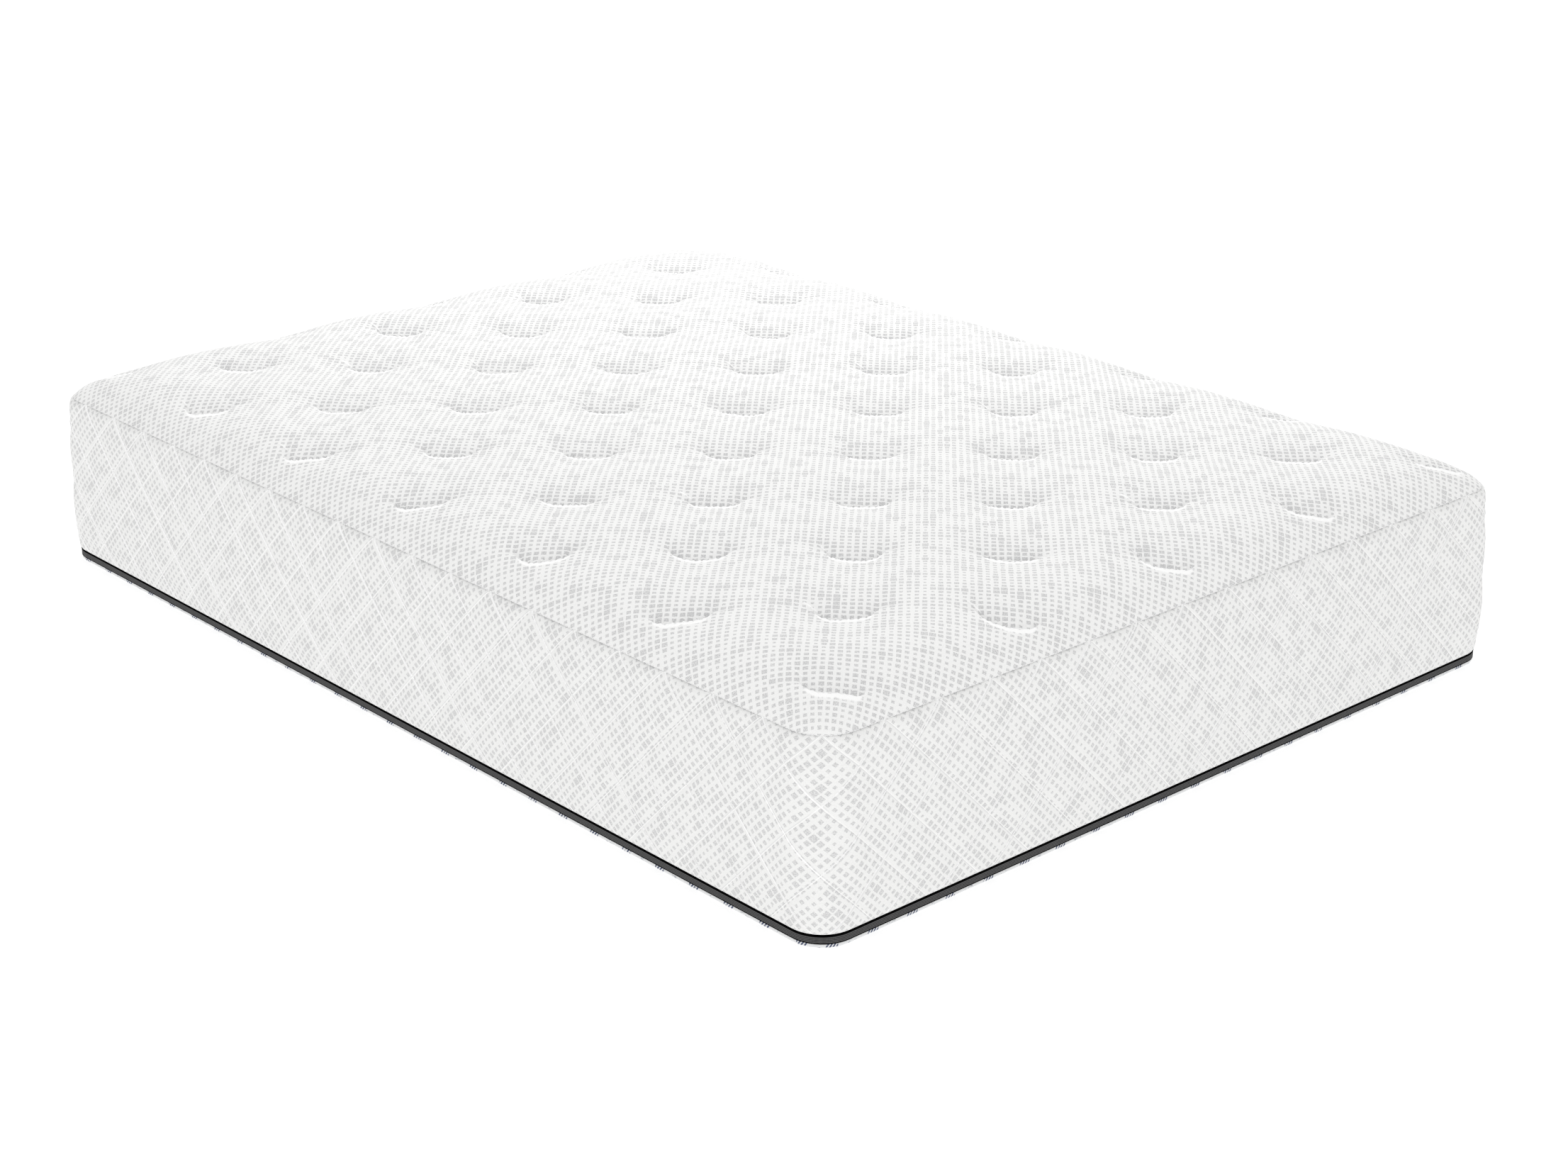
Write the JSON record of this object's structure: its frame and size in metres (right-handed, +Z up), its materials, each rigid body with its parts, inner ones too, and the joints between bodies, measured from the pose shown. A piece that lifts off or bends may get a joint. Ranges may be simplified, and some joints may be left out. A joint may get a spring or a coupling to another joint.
{
  "type": "memory foam mattress",
  "caption": "Tufted memory foam mattress with a knit top, quilted border, bound bottom edge and layered foam core under a fire-barrier sock.",
  "frame": {"origin": "centre of the footprint, on the resting face", "axes": "+X across the bed, +Y along the bed towards the head, +Z up from the resting face"},
  "size_m": [1.524, 2.032, 0.356],
  "materials": {
    "knit_ticking": "off-white stretch-knit jacquard with light grey square dots",
    "fibre_wadding": "lofty white polyester fibre",
    "quilt_foam": "fine open-cell polyurethane foam",
    "non_woven": "thin spun-bonded backing cloth",
    "thread": "light grey polyester thread",
    "charcoal_tape": "ribbed charcoal woven binding tape",
    "black_edge": "black rounded tape edge",
    "panel_cloth": "white bottom cloth with small slate-blue marks",
    "barrier_knit": "cream fire-barrier sleeve knit",
    "gel_foam": "pale blue gel memory foam",
    "transition_foam": "light grey transition foam",
    "support_foam": "cream high-density support foam"
  },
  "bodies": {
    "root": {"top_ticking": "knit_ticking", "quilt_wadding": "fibre_wadding", "quilt_foam": "quilt_foam", "quilt_backing": "non_woven", "top_seam_thread": "thread", "border_ticking": "knit_ticking", "border_foam": "quilt_foam", "border_backing": "non_woven", "binding_piping": "black_edge", "binding_tape": "charcoal_tape", "binding_lower_edge": "black_edge", "bottom_panel": "panel_cloth", "fire_barrier_sock": "barrier_knit", "gel_memory_foam": "gel_foam", "transition_foam": "transition_foam", "support_foam": "support_foam"}
  },
  "joints": []
}
